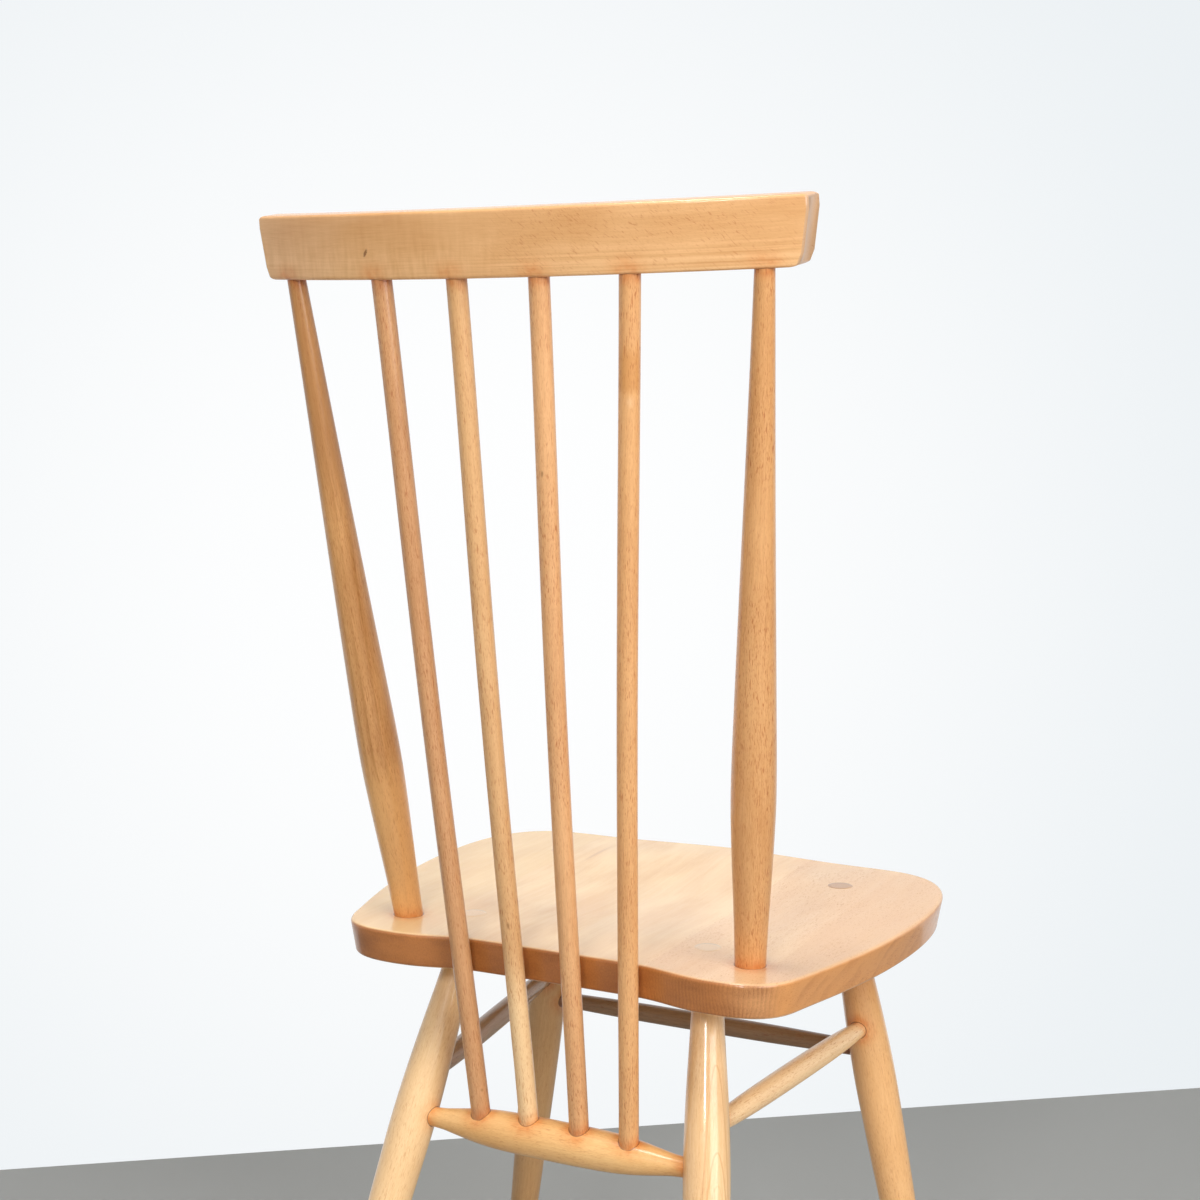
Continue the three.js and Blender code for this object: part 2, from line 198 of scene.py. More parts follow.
def turned_piece(
    name, foot, direction, first, last, radius_at, material, sides, step, bend=None,
):
    """A lathe-turned piece. first and last give, for points at an angle round the axis, the
    distance along it at which the piece begins and ends; radius_at gives its radius, and bend
    how far it is bent backwards at a distance."""
    across, upward, along = axes_of(direction)
    angles = np.linspace(0, 2 * math.pi, sides, endpoint=False)
    spokes = np.cos(angles)[:, None] * across + np.sin(angles)[:, None] * upward
    start, end = first(foot, along, spokes, radius_at), last(foot, along, spokes, radius_at)
    rings = max(8, int(np.max(end - start) / step))
    points, grain = [], []
    for share in np.linspace(0, 1, rings + 1):
        distance = start + share * (end - start)
        radius = radius_at(distance)
        ring = foot + distance[:, None] * along + radius[:, None] * spokes
        if bend:
            ring[:, 1] += bend(distance)
        points.append(ring)
        grain.append(np.stack([radius * np.cos(angles), radius * np.sin(angles), distance], 1))
    for end, out in ((0, -along), (-1, along)):
        rim, rim_grain = points[end], grain[end]
        middle = rim.mean(0)
        radius = np.linalg.norm(rim - middle, axis=1)[:, None]
        for inset in RIM_INSETS:
            at = 0 if end == 0 else len(points)
            inner_grain = rim_grain[:, :2] * (1 - inset / radius)
            points.insert(at, rim + (middle - rim) / radius * inset + RIM_LIFT * out)
            grain.insert(at, np.concatenate([inner_grain, rim_grain[:, 2:]], 1))
    faces = tube_faces(len(points), sides)
    return new_piece(name, np.concatenate(points), np.concatenate(grain), faces, material)


def at_distance(distance):
    """A turned piece's flat end."""
    return lambda foot, along, spokes, radius_at: np.full(len(spokes), float(distance))


def at_height(height_of):
    """Where a leaning turned piece's side meets a nearly level surface."""

    def meet(foot, along, spokes, radius_at):
        distance = np.full(len(spokes), (height_of(foot[None])[0] - foot[2]) / along[2])
        for _ in range(MEETING_STEPS):
            point = foot + distance[:, None] * along + radius_at(distance)[:, None] * spokes
            distance += (height_of(point) - point[:, 2]) / along[2]
        return distance

    return meet


# Node materials


class Nodes:
    """A material and short ways to add nodes to it."""

    def __init__(self, name):
        self.material = bpy.data.materials.new(name)
        self.material.use_nodes = True
        self.tree = self.material.node_tree
        self.tree.nodes.clear()

    def feed(self, socket, value):
        if isinstance(value, bpy.types.NodeSocket):
            self.tree.links.new(value, socket)
        else:
            socket.default_value = value

    def add(self, kind, inputs=(), output=0, **settings):
        node = self.tree.nodes.new(kind)
        for key, value in settings.items():
            setattr(node, key, value)
        for key, value in dict(inputs).items():
            self.feed(node.inputs[key], value)
        return node.outputs[output]

    def math(self, operation, a, b=0.0, clamp=False):
        return self.add("ShaderNodeMath", {0: a, 1: b}, operation=operation, use_clamp=clamp)

    def vector(self, operation, a, b=(0.0, 0.0, 0.0), output=0):
        return self.add("ShaderNodeVectorMath", {0: a, 1: b}, output, operation=operation)

    def step(self, value, low, high, to_low=0.0, to_high=1.0):
        """Eases from to_low to to_high as value goes from low to high."""
        return self.add(
            "ShaderNodeMapRange",
            {0: value, 1: low, 2: high, 3: to_low, 4: to_high},
            interpolation_type="SMOOTHSTEP",
        )

    def fall(self, value, low, high, share=1.0):
        """Eases from share down to 0 as value goes from low to high."""
        return self.step(value, low, high, share, 0.0)

    def mix(self, share, a, b, blend="MIX"):
        """A colour that goes from a to b as share goes from 0 to 1."""
        def colour(c):
            return c if isinstance(c, bpy.types.NodeSocket) else (*c, 1.0)

        return self.add(
            "ShaderNodeMix", {0: share, 6: colour(a), 7: colour(b)}, 2,
            data_type="RGBA", blend_type=blend,
        )

    def noise(self, places, sizes, detail=2.0, roughness=0.5, distortion=0.0, output=0):
        """Noise whose lumps are about sizes long, in millimetres. Output 1 gives three at once."""
        scaled = self.vector("DIVIDE", places, tuple(sizes))
        return self.add(
            "ShaderNodeTexNoise",
            {"Vector": scaled, "Scale": 1.0, "Detail": detail, "Roughness": roughness,
             "Distortion": distortion},
            output,
        )

    def split(self, vector):
        node = self.tree.nodes.new("ShaderNodeSeparateXYZ")
        self.feed(node.inputs[0], vector)
        return node.outputs

    def join(self, x, y, z):
        return self.add("ShaderNodeCombineXYZ", {0: x, 1: y, 2: z})

    def normal_parts(self):
        return self.split(self.add("ShaderNodeTexCoord", output=1))

    def total(self, *values):
        return self.fold("ADD", values)

    def times(self, *values):
        return self.fold("MULTIPLY", values)

    def least(self, *values):
        return self.fold("MINIMUM", values)

    def fold(self, operation, values):
        result = values[0]
        for value in values[1:]:
            result = self.math(operation, result, value)
        return result

    def limited(self, value):
        """A value kept between 0 and 1."""
        return self.math("ADD", value, 0.0, clamp=True)

    def swing(self, value, gain, middle=0.5):
        """How far a value is from its middle, times a gain."""
        return self.times(self.math("SUBTRACT", value, middle), gain)

    def dashes(self, places, sizes, low, high, along=None):
        """Short dashes about as long as sizes, sparser for a higher low and high."""
        if along is not None:
            places = self.join(*(
                self.vector("DOT_PRODUCT", places, tuple(axis), 1) for axis in axes_of(along)
            ))
        return self.step(self.noise(places, sizes, 1.0, 0.4), low, high)

    def emission(self, colour, strength):
        return self.add("ShaderNodeEmission", {"Color": colour, "Strength": strength})

    def blend(self, share, first, second):
        """One shader going over into another as share goes from 0 to 1."""
        return self.add("ShaderNodeMixShader", {0: share, 1: first, 2: second})

    def show(self, shader):
        """Gives the material, with this shader as its surface."""
        output = self.tree.nodes.new("ShaderNodeOutputMaterial")
        self.feed(output.inputs[0], shader)
        return self.material


# Beech under clear lacquer

# Sizes of the wood's patterns: across the grain both ways, then along it.
SWAY_SIZE = (45.0, 45.0, 190.0)
RING_PATCH_SIZE = (22.0, 22.0, 160.0)
FIBRE_SIZE = (0.5, 0.5, 17.0)
STREAK_SIZE = (3.2, 3.2, 150.0)
BLOTCH_SIZE = (34.0, 34.0, 95.0)
FLECK_PATCH_SIZE = (26.0, 26.0, 80.0)
MARK_EDGE_SIZE = (0.9, 0.9, 2.5)
SHEEN_SIZE = (7.0, 7.0, 40.0)
RIPPLE_SIZE = (11.0, 11.0, 11.0)  # the lacquer's own unevenness
GLUE_SIZE = (5.0, 5.0, 5.0)

SEED_SHIFT = (53.0, 31.0, 177.0)  # how far the patterns shift for each step of a piece's seed
# The seed of the first piece of each kind.
SEEDS = dict(leg=1.3, stretcher=7.6, upright=13.1, seat=21.7, rail=31.4)
SWAY = (15.0, 15.0, 4.0)  # how far the grain wanders
RINGS_FADE = (600.0, 1000.0)  # growth rings fade out between these distances from the pith
RING_GAIN = 1.3
RING_MIDDLE = 0.35
BLOTCH_GAIN = 1.7
BOLD_FLECKS = (0.60, 0.70)  # noise from the first value up shows as a fleck, full at the second
FINE_FLECKS = (0.55, 0.68)
FINE_SHIFT = (9.0, 4.0, 50.0)
FINE_SCALE = 0.5
FINE_SHARE = 0.55
FLECK_COLOUR = (0.68, 0.43, 0.30)
MARK_CORE = 0.1
MARK_LIMIT = 1.1
MARK_RAGGEDNESS = 0.7
# Glue and lacquer gathered at joints, and painted shade where pieces meet under the rail and seat
GLUE_AND_SHADE_REACH = 13.0
GLUE_AND_SHADE_COLOUR = (0.88, 0.57, 0.36)
MOUTH_LINE = (0.2, 0.9)  # the dark line fades out between these distances from a mouth's edge
MOUTH_COLOUR = (0.16, 0.05, 0.016)
RING_SLACK = 4.0  # how far a socket's rim may lie up or down its own axis
ROUGHNESS = 0.38
BUMP = {"Strength": 0.55, "Distance": 0.00005}
LACQUER = {"IOR": 1.47, "Specular IOR Level": 0.35, "Coat IOR": 1.5}


class Wood(Nodes):
    """A wood's material, with the places in millimetres that its patterns are laid out by."""

    def __init__(self, name, seed):
        super().__init__(name)
        self.own = self.add("ShaderNodeAttribute", attribute_name="grain", output=1)
        self.shifted = self.vector("ADD", self.own, tuple(seed * shift for shift in SEED_SHIFT))
        in_metres = self.add("ShaderNodeTexCoord", output=3)
        self.position = self.vector("MULTIPLY", in_metres, (1 / MM,) * 3)


def to_joint(n, joint):
    """How far a place is from the surface that a piece is let into, in millimetres."""
    kind, point, direction, *radius = joint
    offset = n.vector("SUBTRACT", n.position, tuple(point))
    direction = np.array(direction, float) / np.linalg.norm(direction)
    along = n.math("ABSOLUTE", n.vector("DOT_PRODUCT", offset, tuple(direction), 1))
    if kind == "plane":
        return along
    away = n.vector("CROSS_PRODUCT", offset, tuple(direction))
    aside = n.math("SUBTRACT", n.vector("LENGTH", away, output=1), radius[0])
    if kind == "line":
        return n.math("ABSOLUTE", aside)
    beyond = n.math("MAXIMUM", n.math("SUBTRACT", along, RING_SLACK), 0.0)
    return n.vector("LENGTH", n.join(aside, beyond, 0.0), output=1)


def growth_lines(n, sway, centre, gap):
    """Growth rings: a soft rise to a thin darker line at each, stronger here and there."""
    x, y, _ = n.split(n.vector("ADD", n.own, sway))
    aside = (n.math("SUBTRACT", x, centre[0]), n.math("SUBTRACT", y, centre[1]))
    from_pith = n.vector("LENGTH", n.join(*aside, 0.0), output=1)
    phase = n.math("FRACT", n.math("DIVIDE", from_pith, gap))
    return n.times(
        n.step(phase, 0.25, 0.9), n.fall(phase, 0.93, 1.0),
        n.step(n.noise(n.shifted, RING_PATCH_SIZE), 0.3, 0.75, 0.35, 1.3),
        n.step(from_pith, *RINGS_FADE, 1.0, 0.05),
    )


def ray_flecks(n, amount, size, along, sparse):
    """Short dark dashes where rays are cut, dense and fine over sparse and bold."""
    bold = n.dashes(n.shifted, size, *(limit + sparse for limit in BOLD_FLECKS), along)
    fine = n.dashes(
        n.vector("ADD", n.shifted, FINE_SHIFT), [s * FINE_SCALE for s in size],
        *(limit + sparse for limit in FINE_FLECKS), along,
    )
    patchy = n.step(n.noise(n.shifted, FLECK_PATCH_SIZE, 1.0), 0.32, 0.62, 0.45, 1.0)
    return n.times(n.math("MAXIMUM", bold, n.times(fine, FINE_SHARE)), patchy, amount)


def mark_share(n, mark):
    """How strongly a knot or mark shows: most at its core, and not beyond its ragged edge."""
    offset = n.vector("SUBTRACT", n.own, tuple(mark["at"]))
    spots = n.join(*(
        n.math("DIVIDE", n.vector("DOT_PRODUCT", offset, tuple(axis), 1), size)
        for axis, size in zip(axes_of(mark.get("along", (0.0, 0.0, 1.0))), mark["size"])
    ))
    ragged = n.swing(n.noise(n.shifted, MARK_EDGE_SIZE), MARK_RAGGEDNESS)
    far = n.math("ADD", n.vector("LENGTH", spots, output=1), ragged)
    return n.fall(far, mark.get("core", MARK_CORE), MARK_LIMIT, mark["strength"])


def glue_and_joint_shade(n, colour, joints, glue_and_shade):
    """Warms the colour at joints for glue, lacquer and painted shade, with a dark line at mouths.
    """
    distances = [to_joint(n, joint) for joint in joints]
    near = n.least(*distances)
    uneven = n.step(n.noise(n.position, GLUE_SIZE), 0.3, 0.7, 0.55, 1.25)
    glue_and_shade_share = n.times(
        n.fall(near, 0.0, GLUE_AND_SHADE_REACH, glue_and_shade), uneven, n.step(near, 0.0, GLUE_AND_SHADE_REACH, 1.0, 0.35)
    )
    colour = n.mix(n.limited(glue_and_shade_share), colour, GLUE_AND_SHADE_COLOUR, "MULTIPLY")
    mouths = [distance for distance, joint in zip(distances, joints) if joint[0] == "ring"]
    if not mouths:
        return colour
    return n.mix(n.fall(n.least(*mouths), *MOUTH_LINE, 0.75), colour, MOUTH_COLOUR)


def beech(
    name, seed, pale, deep, *, joints, rings=0.25, ring_centre=(60.0, 25.0), ring_gap=2.6,
    blotches=0.5, streaks=0.4, fibres=1.25, bands_and_shade=None, tints=(), flecks=0.5,
    fleck_size=(0.75, 0.75, 5.5), fleck_along=None, fleck_where=None, sparse=0.0,
    end_grain=None, marks=(), glue_and_shade=0.75, coat=0.5, coat_roughness=0.12,
):
    """Clear-lacquered beech whose grain runs along the third of a piece's grain coordinates.
    tints are pairs of a place and a colour; a place is a function that gives its share."""
    n = Wood(name, seed)
    sway = n.vector("SUBTRACT", n.noise(n.shifted, SWAY_SIZE, output=1), (0.5, 0.5, 0.5))
    sway = n.vector("MULTIPLY", sway, SWAY)
    wavy = n.vector("ADD", n.shifted, sway)

    line = growth_lines(n, sway, ring_centre, ring_gap)
    fibre = n.noise(wavy, FIBRE_SIZE, 3.0, 0.6)
    streak = n.noise(wavy, STREAK_SIZE, 3.0, 0.55)
    blotch = n.noise(n.shifted, BLOTCH_SIZE, 2.0, 0.5, 0.4)
    tone = n.total(
        0.5, n.swing(blotch, BLOTCH_GAIN * blotches), n.swing(streak, streaks),
        n.swing(fibre, fibres), n.swing(line, rings * RING_GAIN, RING_MIDDLE),
    )
    # the rail's banding, with painted shade on its left half, added to the tone
    if bands_and_shade is not None:
        tone = n.math("ADD", tone, bands_and_shade(n))
    colour = n.mix(n.limited(tone), pale, deep)
    for where, tint in tints:
        colour = n.mix(where(n), colour, tint)

    dashes = ray_flecks(n, flecks, fleck_size, fleck_along, sparse)
    if fleck_where is not None:
        dashes = n.times(dashes, fleck_where(n))
    if end_grain is not None:
        ends, end_colour = end_grain(n, line)
        dashes = n.times(dashes, n.step(ends, 0.2, 0.8, 1.0, 0.1))
    colour = n.mix(dashes, colour, FLECK_COLOUR, "MULTIPLY")
    if end_grain is not None:
        colour = n.mix(ends, colour, end_colour)
    for mark in marks:
        colour = n.mix(mark_share(n, mark), colour, mark["colour"])
    # glue and lacquer at joints, and painted shade where pieces meet
    colour = glue_and_joint_shade(n, colour, joints, glue_and_shade)

    rough = n.total(
        ROUGHNESS, n.swing(n.noise(wavy, SHEEN_SIZE), 0.16), n.times(dashes, 0.08)
    )
    height = n.total(
        n.times(fibre, 0.5), n.times(dashes, -0.9), n.times(line, -0.25),
        n.times(n.noise(n.position, RIPPLE_SIZE, 1.0), 3.0),
    )
    bump = n.add("ShaderNodeBump", {**BUMP, "Height": height})
    return n.show(n.add("ShaderNodeBsdfPrincipled", {
        "Base Color": colour, "Roughness": rough, "Normal": bump, **LACQUER,
        "Coat Weight": coat, "Coat Roughness": coat_roughness,
    }))


# Where the pieces meet


def leg_line(name):
    """A leg's axis: its point at the height of the seat's top, and its way down."""
    leg = LEGS[name]
    point = place(leg["side"] * leg["x"], leg["y"], SEAT_HEIGHT)
    way = np.array([leg["side"] * leg["out"], leg["back"], -1.0])
    return point, way / np.linalg.norm(way)


def leg_at(name, z):
    """The point at a height on a leg's axis."""
    point, way = leg_line(name)
    return point + way * (z - SEAT_HEIGHT) / way[2]


def stretcher_line(name):
    """A stretcher's two ends on the axes of its legs."""
    spec = STRETCHERS[name]
    heights = STRETCHER_HEIGHTS[spec["kind"]]
    return tuple(leg_at(leg, z) for leg, z in zip(spec["legs"], heights))


def stretcher_swell(name):
    """Distances from a stretcher's middle to its leg, and its radius at each."""
    start, end = stretcher_line(name)
    shown = np.linalg.norm(end - start) / 2 - LEG_RADIUS_AT_STRETCHERS
    return [(share * shown, radius) for share, radius in SWELLS[STRETCHERS[name]["kind"]]]


def upright_line(spec, side):
    """The two ends of a post or stick where it leaves its sockets."""
    return tuple(place(side * x, y, z) for x, y, z in (spec["foot"], spec["top"]))


RAIL_ORIGIN = place(0.0, RAIL["y"], RAIL["bottom"])
RAIL_UP = np.array([0.0, math.sin(RAIL["rake"]), math.cos(RAIL["rake"])])
RAIL_OUT = np.array([0.0, math.cos(RAIL["rake"]), -math.sin(RAIL["rake"])])
UPRIGHTS = {
    "post_left": (POST, 1, POST_PROFILE), "post_right": (POST, -1, POST_PROFILE),
    "stick_1": (OUTER_STICK, 1, STICK_PROFILE), "stick_2": (INNER_STICK, 1, STICK_PROFILE),
    "stick_3": (INNER_STICK, -1, STICK_PROFILE), "stick_4": (OUTER_STICK, -1, STICK_PROFILE),
}
SEAT_PLANE = ("plane", (0.0, 0.0, SEAT_HEIGHT), (0.0, 0.0, 1.0))
RAIL_PLANE = ("plane", tuple(RAIL_ORIGIN), tuple(RAIL_UP))


def line_joint(point, direction, radius):
    """Where a piece meets a long round piece."""
    return ("line", tuple(point), tuple(direction), float(radius))


def ring_joint(mouth, direction, radius):
    """Where a round piece enters this one."""
    return ("ring", tuple(mouth), tuple(direction), float(radius))


def upright_mouths(kind, share):
    """Where all posts, all sticks or both enter another piece, at a share of their length."""
    joints = []
    for name, (spec, side, profile) in UPRIGHTS.items():
        if name.startswith(kind):
            foot, top = upright_line(spec, side)
            radius = profile[0 if share < 0.5 else -1][1]
            joints.append(ring_joint(foot + (top - foot) * share, top - foot, radius))
    return joints


def rear_stretcher_joint(aside):
    """Where a stick that is this far from the middle meets the rear stretcher."""
    start, end = stretcher_line("stretcher_rear")
    return line_joint(start, end - start, smooth_through(stretcher_swell("stretcher_rear"), aside))


# Looks of the legs

KNOT = (0.33, 0.14, 0.045)
PART_SOFTNESS = 25.0


def part_of(low, high, share):
    """share between two distances along a piece, fading out at each end."""
    def where(n):
        z = n.split(n.own)[2]
        return n.times(
            n.step(z, low - PART_SOFTNESS, low + PART_SOFTNESS),
            n.fall(z, high - PART_SOFTNESS, high + PART_SOFTNESS, share),
        )
    return where


ARCS_TOWARDS = math.radians(40.0)  # the side of the rear right leg that its arcs of grain are on
# Each arc's distance down the leg at its tip, narrowness and strength.
ARCS = ((42.0, 1.5, 0.35), (79.0, 0.95, 0.75), (137.0, 0.62, 0.8), (158.0, 0.55, 0.3))
ARC_SWERVE_SIZE = (9.0, 9.0, 30.0)
ARC_SWERVE = 7.0
ARC_LINE = (0.1, 0.75)


def leg_arcs(n):
    """Thin arcs of grain down a leg."""
    x, y, z = n.split(n.own)
    cos, sin = math.cos(ARCS_TOWARDS), math.sin(ARCS_TOWARDS)
    aside = n.math("SUBTRACT", n.times(y, cos), n.times(x, sin))
    facing = n.math("ADD", n.times(x, cos), n.times(y, sin))
    down = n.math("ADD", z, n.swing(n.noise(n.own, ARC_SWERVE_SIZE), ARC_SWERVE))
    arcs = 0.0
    for tip, narrow, strength in ARCS:
        off = n.math("SUBTRACT", n.math("SUBTRACT", down, tip), n.times(aside, aside, narrow))
        slope = n.math("ADD", n.times(n.math("ABSOLUTE", aside), 2 * narrow), 1.0)
        off = n.math("ABSOLUTE", n.math("DIVIDE", off, slope))
        arcs = n.math("MAXIMUM", arcs, n.fall(off, *ARC_LINE, strength))
    return n.times(arcs, n.step(facing, 4.0, 9.0), n.fall(z, 200.0, 300.0))


# tenon is the colour of the leg's end that shows in the seat's top.
LEG_LOOKS = {
    "leg_front_left": dict(
        pale=(0.71, 0.43, 0.195), deep=(0.57, 0.30, 0.115), flecks=0.35, rings=0.1,
        ring_centre=(90.0, 40.0), tenon=(0.80, 0.52, 0.29),
        marks=[dict(at=(2.5, 11.7, 140.3), size=(1.5, 2.0, 2.6), colour=KNOT, strength=0.7)],
    ),
    "leg_front_right": dict(
        pale=(0.98, 0.585, 0.265), deep=(0.84, 0.435, 0.16), flecks=0.5, rings=0.15,
        ring_centre=(-70.0, 60.0), coat=0.7, tenon=(0.50, 0.27, 0.125),
        # painted shade: the leg's top, in the seat's shade, is painted darker
        tints=[(part_of(-20.0, 95.0, 0.85), (0.63, 0.295, 0.10))],
    ),
    "leg_rear_left": dict(
        pale=(0.93, 0.645, 0.345), deep=(0.80, 0.49, 0.225), flecks=0.45, rings=0.08,
        ring_centre=(110.0, -40.0), blotches=0.8, coat=0.7, glue_and_shade=0.4, tenon=(0.84, 0.57, 0.33),
    ),
    "leg_rear_right": dict(
        pale=(0.95, 0.665, 0.37), deep=(0.78, 0.45, 0.19), flecks=0.4, rings=0.1, blotches=0.7,
        ring_centre=(60.0, 40.0), coat=0.8, coat_roughness=0.1, tenon=(0.80, 0.54, 0.31),
        tints=[(leg_arcs, (0.70, 0.375, 0.15))],
    ),
}


def tenon_end(n):
    """1 on the end of a leg that shows in the seat's top."""
    return n.step(n.split(n.position)[2], SEAT_HEIGHT - 4.0, SEAT_HEIGHT - 2.0)


# Legs


def leg_radius(distance):
    return smooth_through(LEG_PROFILE, distance)


def leg_joints(name):
    """The seat's underside, and the mouths of the stretchers that enter this leg."""
    joints = [("plane", (0.0, 0.0, SEAT_HEIGHT - SEAT["thickness"]), (0.0, 0.0, 1.0))]
    for other, spec in STRETCHERS.items():
        if name not in spec["legs"]:
            continue
        start, end = stretcher_line(other)
        if name == spec["legs"][1]:
            start, end = end, start
        inward = (end - start) / np.linalg.norm(end - start)
        mouth = start + inward * LEG_RADIUS_AT_STRETCHERS
        joints.append(ring_joint(mouth, inward, SWELLS[spec["kind"]][-1][1]))
    return joints


def build_leg(name, seed):
    looks = dict(LEG_LOOKS[name])
    looks["tints"] = looks.get("tints", []) + [(tenon_end, looks.pop("tenon"))]
    foot, way = leg_line(name)
    turned_piece(
        name, foot, way,
        at_height(lambda p: SEAT_HEIGHT - LEG_END_SUNK + seat_top(p[:, 0], p[:, 1] - CENTRING)),
        at_height(lambda p: np.full(len(p), FOOT_LIFT)),
        leg_radius, beech(name + "_beech", seed, joints=leg_joints(name), **looks),
        sides=72, step=4.0,
    )


for index, name in enumerate(LEGS):
    build_leg(name, index + SEEDS["leg"])


# Stretchers

# Painted shade: the left and front stretchers are coloured much darker, for the seat's shade on
# them. Painted light: the right one is coloured paler, for the side lamp on it.
STRETCHER_LOOKS = {
    "stretcher_left": dict(pale=(0.50, 0.315, 0.175), deep=(0.38, 0.215, 0.11), flecks=0.5),
    "stretcher_right": dict(
        pale=(0.99, 0.71, 0.40), deep=(0.88, 0.56, 0.28), flecks=0.7, streaks=0.8, blotches=0.9,
    ),
    "stretcher_front": dict(pale=(0.35, 0.205, 0.105), deep=(0.25, 0.135, 0.065), flecks=0.55),
    "stretcher_rear": dict(
        pale=(0.93, 0.57, 0.24), deep=(0.75, 0.40, 0.14), flecks=0.5, blotches=1.0, rings=0.04,
        streaks=0.7, coat_roughness=0.2,
    ),
}


def stretcher_joints(spec):
    """The legs' sides, and on the rear stretcher the mouths of the sticks."""
    joints = []
    for leg, z in zip(spec["legs"], STRETCHER_HEIGHTS[spec["kind"]]):
        foot, way = leg_line(leg)
        radius = leg_radius((z - SEAT_HEIGHT) / way[2])
        joints.append(line_joint(foot, way, radius))
    if spec["kind"] == "rear":
        joints += upright_mouths("stick", STICK_MOUTH)
    return joints


def build_stretcher(name, spec, seed):
    start, end = stretcher_line(name)
    swell = stretcher_swell(name)
    reach = swell[-1][0] + STRETCHER_TENON
    swell.append((reach, swell[-1][1]))
    both_ways = [(-distance, radius) for distance, radius in reversed(swell[1:])] + swell
    joints = stretcher_joints(spec)
    material = beech(name + "_beech", seed, joints=joints, **STRETCHER_LOOKS[name])
    turned_piece(
        name, (start + end) / 2, end - start, at_distance(-reach), at_distance(reach),
        lambda distance: smooth_through(both_ways, distance),
        material, sides=56, step=3.0,
    )


for index, (name, spec) in enumerate(STRETCHERS.items()):
    build_stretcher(name, spec, index + SEEDS["stretcher"])


# Posts and sticks


def orange_band(n):
    """1 on a deeper patch near the top of a stick."""
    z = n.split(n.own)[2]
    return n.times(n.step(z, 514.0, 521.0), n.fall(z, 536.0, 550.0, 0.75))


UPRIGHT_LOOKS = {
    "post_left": dict(
        pale=(0.76, 0.40, 0.15), deep=(0.50, 0.215, 0.062), flecks=0.55, rings=0.3, streaks=0.9,
        ring_centre=(30.0, 5.0), ring_gap=6.0,
        tints=[
            (part_of(-60.0, 115.0, 0.75), (0.93, 0.51, 0.19)),
            (part_of(330.0, 520.0, 0.6), (0.50, 0.235, 0.085)),
        ],
    ),
    "post_right": dict(
        pale=(0.83, 0.455, 0.19), deep=(0.61, 0.275, 0.09), flecks=0.85, rings=0.06,
        marks=[dict(
            at=(-9.2, 9.5, 246.0), size=(0.8, 3.0, 38.0), colour=(0.52, 0.215, 0.07), strength=0.6,
        )],
    ),
    "stick_1": dict(
        pale=(0.73, 0.395, 0.185), deep=(0.51, 0.235, 0.092), flecks=0.8, rings=0.05,
        marks=[dict(at=(-5.6, 4.1, 20.2), size=(1.6, 1.6, 1.6), colour=KNOT, strength=0.6)],
    ),
    "stick_2": dict(
        pale=(0.82, 0.50, 0.235), deep=(0.64, 0.335, 0.135), flecks=0.75, rings=0.05,
        tints=[(part_of(-40.0, 110.0, 0.8), (0.99, 0.69, 0.37))],
        marks=[dict(at=(-2.0, 6.6, 151.0), size=(1.3, 1.6, 3.4), colour=KNOT, strength=0.8)],
    ),
    "stick_3": dict(
        pale=(0.89, 0.51, 0.24), deep=(0.64, 0.31, 0.125), flecks=0.85, rings=0.05,
        marks=[dict(at=(-0.2, 6.9, 465.1), size=(1.2, 1.6, 3.0), colour=KNOT, strength=0.75)],
    ),
    "stick_4": dict(
        pale=(0.90, 0.51, 0.22), deep=(0.66, 0.31, 0.115), flecks=0.8, rings=0.05,
        tints=[(orange_band, (0.66, 0.30, 0.09))],
        marks=[dict(
            at=(-3.2, 5.9, 511.0), size=(3.0, 3.0, 5.0), colour=(0.92, 0.62, 0.34), strength=0.4,
        )],
    ),
}


def bent_back(share, bow):
    """How far an upright stands back, at a share of its length between its two fixed ends."""
    share = np.clip(share, 0, 1)
    return bow * (4 * share * (1 - share)) ** 2


def build_upright(name, seed):
    spec, side, shares = UPRIGHTS[name]
    foot, top = upright_line(spec, side)
    length = np.linalg.norm(top - foot)
    profile = [(share * length, radius) for share, radius in shares]
    is_post = name.startswith("post")
    low_joint = SEAT_PLANE if is_post else rear_stretcher_joint(spec["foot"][0])
    material = beech(
        name + "_beech", seed, joints=[low_joint, RAIL_PLANE], **UPRIGHT_LOOKS[name]
    )
    turned_piece(
        name, foot, top - foot, at_distance(-spec["tenon"]), at_distance(length + RAIL_TENON),
        lambda distance: smooth_through(profile, distance),
        material, sides=56 if is_post else 40, step=3.0,
        bend=lambda distance: bent_back(distance / length, spec["bow"]),
    )


for index, name in enumerate(UPRIGHTS):
    build_upright(name, index + SEEDS["upright"])


# Seat

SEAT_SIDES = 480
SEAT_CENTRE = np.array([0.0, -170.0])  # the point that the rings of the seat's faces close in on
CURVE_POINTS = 60
OUTLINE_SOFTENINGS = 6
UNDERSIDE_SHARES = (0.02, 0.25, 0.5, 0.75, 0.9, 0.97)
EDGE_SHARES = (0.25, 0.5, 0.75)
TOP_SHARES = (0.985, *np.linspace(0.96, 0.04, 56), 0.015)


